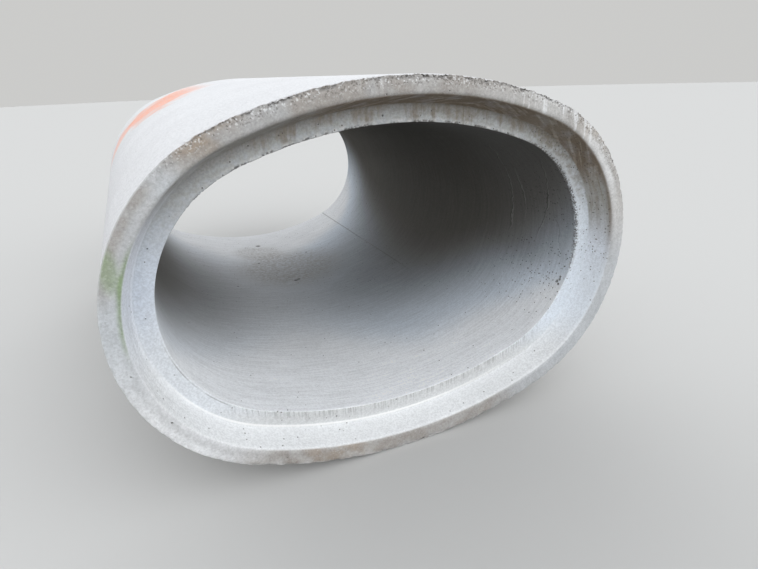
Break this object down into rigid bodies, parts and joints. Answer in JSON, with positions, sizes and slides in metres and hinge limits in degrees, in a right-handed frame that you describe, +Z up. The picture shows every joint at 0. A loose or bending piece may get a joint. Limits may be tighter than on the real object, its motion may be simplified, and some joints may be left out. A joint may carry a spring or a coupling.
{
  "type": "concrete culvert pipe",
  "caption": "Horizontal elliptical precast concrete pipe lying on its flat side, open bore, tapered groove at one end and matching tongue at the other.",
  "frame": {"origin": "on the ground, below the middle of the pipe's length, where the invert rests", "axes": "+Y along the pipe from the groove end to the tongue end, +X across the span, +Z up"},
  "size_m": [1.803, 2.5272, 1.2442],
  "materials": {
    "concrete": "matte"
  },
  "bodies": {
    "root": {"culvert_pipe": "concrete"}
  },
  "joints": []
}
